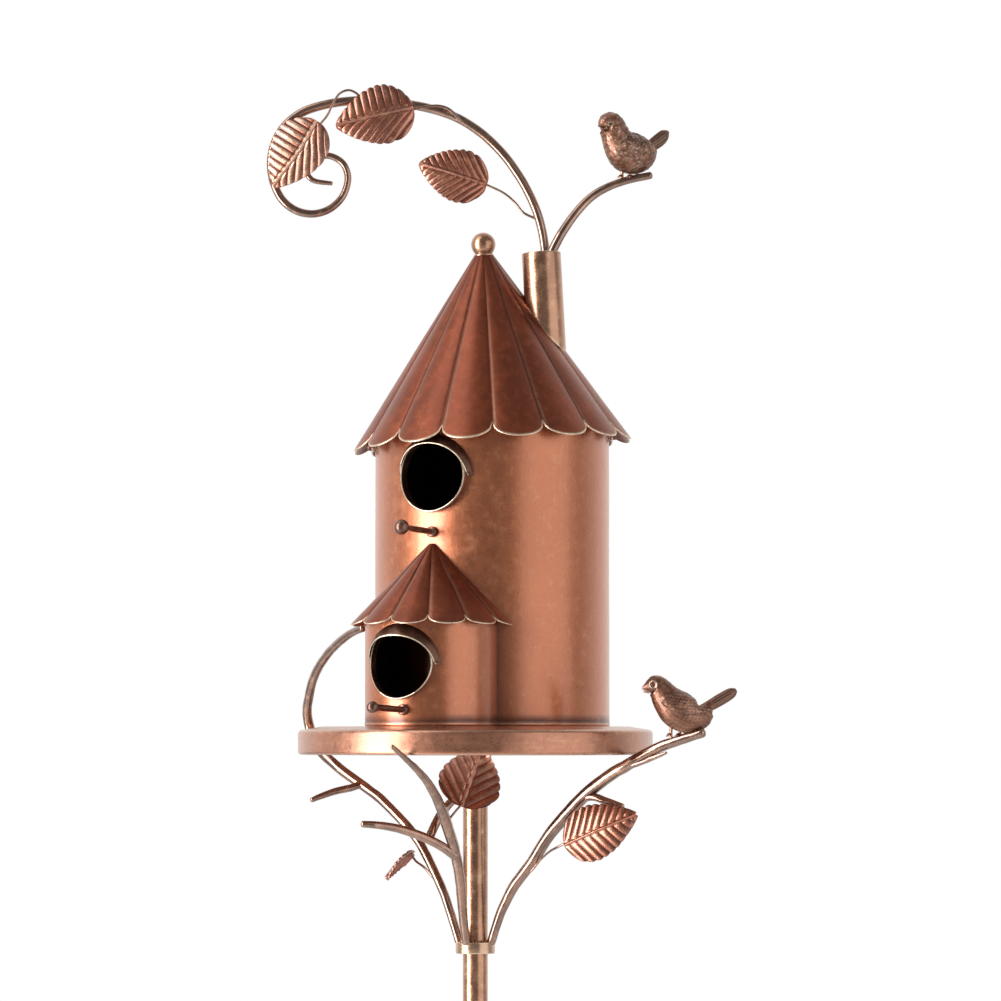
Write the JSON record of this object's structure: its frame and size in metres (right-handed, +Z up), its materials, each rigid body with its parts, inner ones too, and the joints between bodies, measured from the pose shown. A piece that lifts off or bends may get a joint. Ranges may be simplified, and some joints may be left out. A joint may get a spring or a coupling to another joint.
{
  "type": "decorative birdhouse on a garden pole",
  "caption": "Sheet-metal birdhouse with a small lean-on house, lobed cone roofs, branches, leaves and birds, on a tray and a sectional pole with a pronged ground stake.",
  "frame": {"origin": "on the pole axis at soil level, where the centre spike enters the ground", "axes": "+Z up along the pole; -Y towards the side the entrance holes face; +X to the right seen from that side"},
  "size_m": [0.3137, 0.2532, 1.6059],
  "materials": {
    "wall": "mottled antique copper, satin",
    "roof": "reddish brown copper, satin, pale worn edges",
    "rod": "brushed brown copper with pale rubbed highlights",
    "bright": "light copper with rubbed edges",
    "dark": "dark oil-rubbed bronze",
    "leaf": "red copper with bright raised veins",
    "bird": "brown copper, pebbled",
    "screw": "zinc plated"
  },
  "bodies": {
    "stake": {"centre_spike": "dark", "prong_front": "dark", "prong_back": "dark", "prong_left": "dark", "prong_right": "dark", "pole_lower": "rod"},
    "mid_pole": {"pole_middle": "rod"},
    "house": {"pole_upper": "rod", "tray_socket": "dark", "branch_collar": "dark", "branch_left": "rod", "branch_front": "rod", "branch_right": "rod", "twig_left": "rod", "twig_front_low": "rod", "twig_front_back": "rod", "twig_right": "rod", "twig_right_tip": "rod", "tray": "wall", "tall_wall": "wall", "tall_collar": "bright", "tall_hood": "roof", "tall_perch": "dark", "small_wall": "wall", "small_roof": "roof", "small_collar": "bright", "small_hood": "roof", "small_perch": "dark", "tray_screws": "screw", "leaf_under_tray": "leaf", "stem_under_tray": "leaf", "leaf_left": "leaf", "stem_left": "leaf", "leaf_right": "leaf", "stem_right": "leaf", "bird_lower": "bird", "bird_lower_tail": "bird", "bird_lower_feet": "bird"},
    "roof": {"tall_roof": "roof", "finial": "bright", "roof_clips": "dark", "chimney": "bright", "chimney_cap": "dark", "scroll_arm": "rod", "bird_arm": "rod", "leaf_scroll_end": "leaf", "stem_scroll_end": "leaf", "leaf_scroll_top": "leaf", "stem_scroll_top": "leaf", "leaf_scroll_low": "leaf", "stem_scroll_low": "leaf", "bird_upper": "bird", "bird_upper_tail": "bird", "bird_upper_feet": "bird"}
  },
  "joints": [
    {"name": "pole_pull", "type": "slide", "parent": "stake", "child": "mid_pole", "axis": [0, 0, 1], "range_m": [0, 0.05]},
    {"name": "house_turn", "type": "hinge", "parent": "mid_pole", "child": "house", "pos_m": [0, 0, 0.78], "axis": [0, 0, 1], "continuous": true},
    {"name": "roof_lift", "type": "slide", "parent": "house", "child": "roof", "axis": [0, 0, 1], "range_m": [0, 0.15]}
  ]
}
